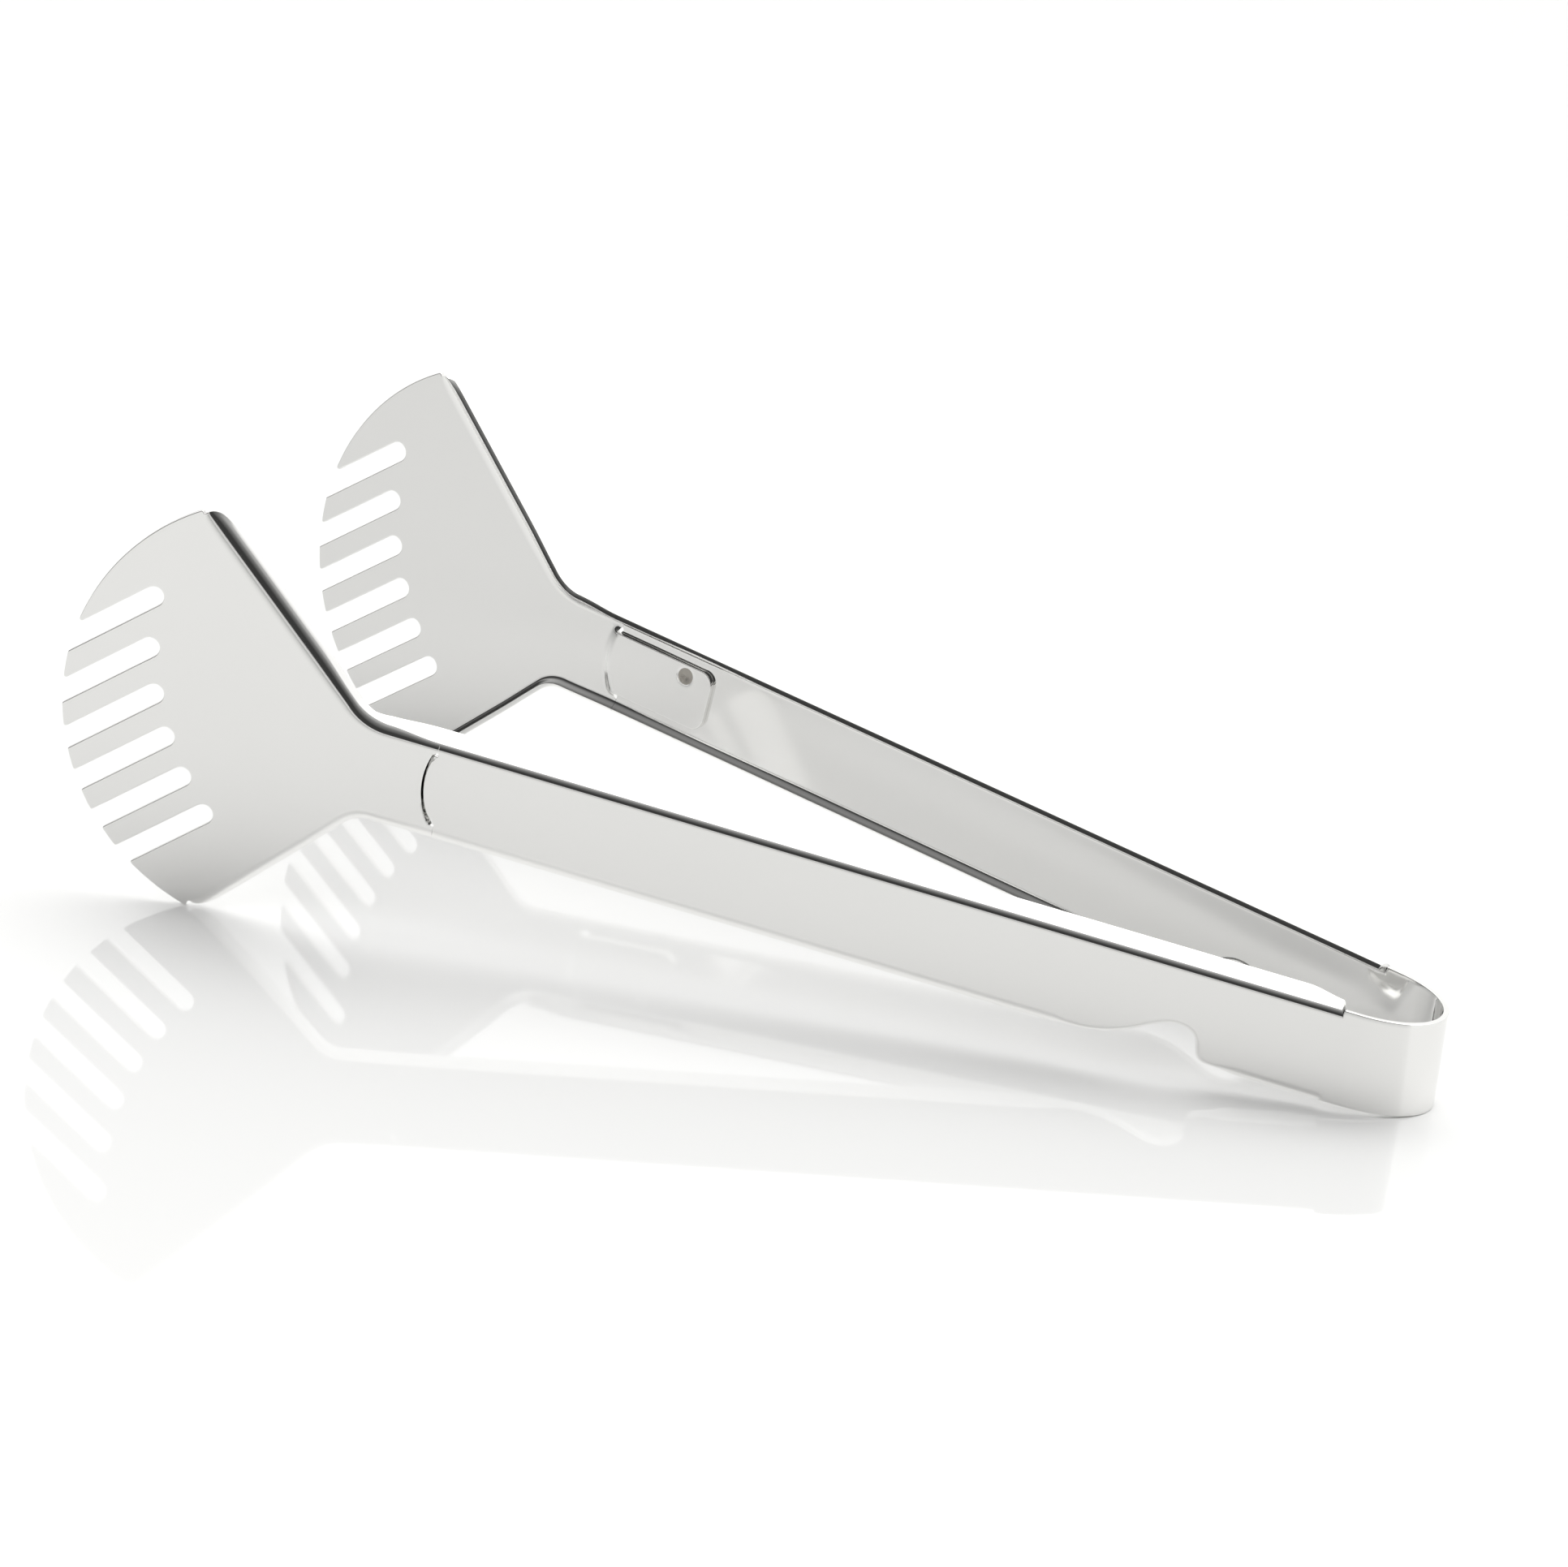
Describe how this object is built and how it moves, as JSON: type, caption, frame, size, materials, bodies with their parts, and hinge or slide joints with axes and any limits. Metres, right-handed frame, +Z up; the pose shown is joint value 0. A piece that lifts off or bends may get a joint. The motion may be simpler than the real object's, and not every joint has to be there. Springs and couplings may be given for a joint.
{
  "type": "serving tongs",
  "caption": "Spring serving tongs: bent sheet-metal strip with turned-in edges and hook notches, a slotted fan-shaped head spot-welded inside each arm.",
  "frame": {"origin": "centre of the bounding box on the plane the tongs lie on", "axes": "+X from the heads towards the closed bow end, +Y across to the far arm, +Z up; the tongs lie on edge on the lower head corners and the lower edge of the bow"},
  "size_m": [0.2923, 0.135, 0.089],
  "materials": {
    "strip_steel": "bright polished stainless steel",
    "head_steel": "bright polished stainless steel",
    "weld_steel": "dull pressed spot"
  },
  "bodies": {
    "bow_spring": {"bow": "strip_steel"},
    "near_side": {"near_arm": "strip_steel", "near_head": "head_steel", "near_weld": "weld_steel"},
    "far_side": {"far_arm": "strip_steel", "far_head": "head_steel", "far_weld": "weld_steel"}
  },
  "joints": [
    {"name": "near_squeeze", "type": "hinge", "parent": "bow_spring", "child": "near_side", "pos_m": [0.13781, -0.00962, 0.01137], "axis": [-0.1206, 0, -0.9927], "range_deg": [-2, 12.2], "stiffness_Nm_per_rad": 3.5, "deforming": ["bow"]},
    {"name": "far_squeeze", "type": "hinge", "parent": "bow_spring", "child": "far_side", "pos_m": [0.13781, 0.00962, 0.01137], "axis": [0.1206, 0, 0.9927], "range_deg": [-2, 12.2], "stiffness_Nm_per_rad": 3.5, "deforming": ["bow"]}
  ],
  "couplings": [
    {"joint": "far_squeeze", "follows": "near_squeeze", "ratio": 1}
  ]
}
